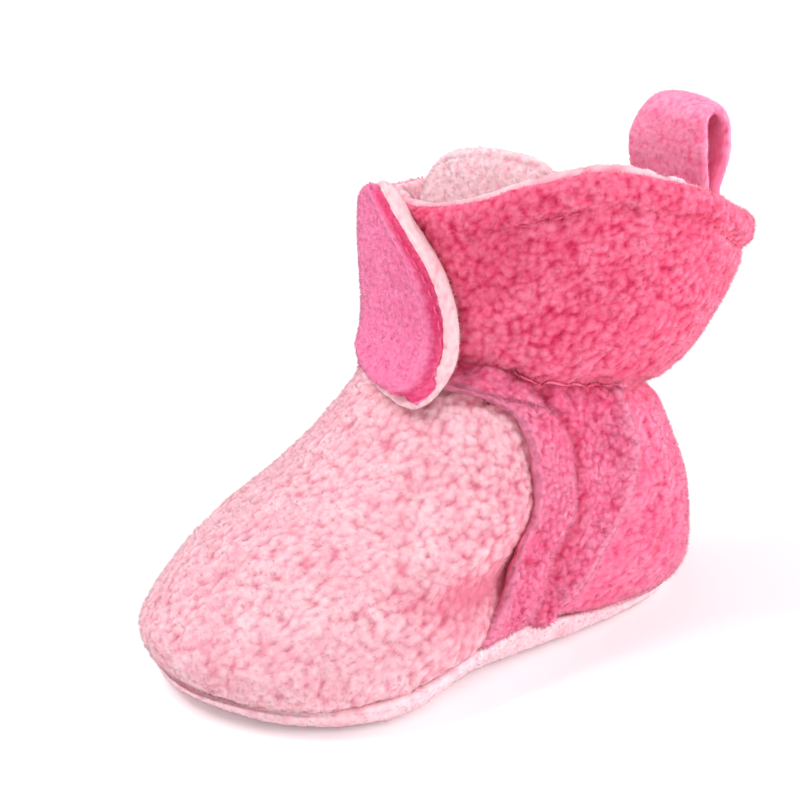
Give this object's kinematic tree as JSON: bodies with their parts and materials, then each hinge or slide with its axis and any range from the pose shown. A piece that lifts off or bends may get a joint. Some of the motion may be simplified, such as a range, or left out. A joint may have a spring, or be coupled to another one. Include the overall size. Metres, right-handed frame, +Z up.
{
  "type": "baby bootie",
  "caption": "Soft fleece baby bootie with grip-dot sole, flared ankle collar, padded tongue, wrap-over closure tab and heel pull loop.",
  "frame": {"origin": "middle of the footprint box on the ground plane, under the grip dots", "axes": "+Z up, -Y towards the toe, +Y towards the heel, +X towards the outer side of the left foot"},
  "size_m": [0.0702, 0.1337, 0.0932],
  "materials": {
    "hot_pink_fleece": "nubby fleece pile, matte with soft sheen",
    "light_fleece": "clumped sherpa pile, matte with soft sheen",
    "brushed_fleece": "short brushed pile",
    "sole_fleece": "short dense pile",
    "grip_dots": "soft translucent vinyl, satin",
    "foam": "open-cell foam",
    "wadding": "loose polyester fibre",
    "elastic": "ribbed elastic tape",
    "hook_tape": "woven tape with nylon hooks",
    "loop_tape": "woven tape with brushed loops",
    "thread": "spun thread"
  },
  "bodies": {
    "bootie": {"outsole": "sole_fleece", "forefoot_grip_dots": "grip_dots", "heel_grip_dots": "grip_dots", "insole_foam": "foam", "footbed_lining": "light_fleece", "sole_seam_stitching": "thread", "vamp_shell": "light_fleece", "vamp_lining": "light_fleece", "lateral_quarter": "hot_pink_fleece", "medial_quarter": "hot_pink_fleece", "heel_panel": "hot_pink_fleece", "quarter_lining": "light_fleece", "ankle_elastic": "elastic", "cuff_shell": "hot_pink_fleece", "cuff_lining": "light_fleece", "rim_stitching": "thread", "loop_patch": "loop_tape"},
    "closure_tab": {"closure_tab_shell": "brushed_fleece", "closure_tab_lining": "light_fleece", "hook_patch": "hook_tape", "tab_stitching": "thread"},
    "tongue": {"tongue_shell": "light_fleece", "tongue_padding": "wadding", "tongue_lining": "light_fleece"},
    "heel_loop": {"heel_loop": "brushed_fleece"}
  },
  "joints": [
    {"name": "tab_hinge", "type": "hinge", "parent": "bootie", "child": "closure_tab", "pos_m": [-0.0203, -0.00445, 0.054], "axis": [0.149, -0.157, -0.9763], "range_deg": [0, 110]},
    {"name": "tongue_hinge", "type": "hinge", "parent": "bootie", "child": "tongue", "pos_m": [0, -0.0024, 0.0515], "axis": [-1, 0, 0], "range_deg": [0, 20]},
    {"name": "loop_hinge", "type": "hinge", "parent": "bootie", "child": "heel_loop", "pos_m": [0, 0.0605, 0.0777], "axis": [-1, 0, 0], "range_deg": [-40, 50]}
  ]
}
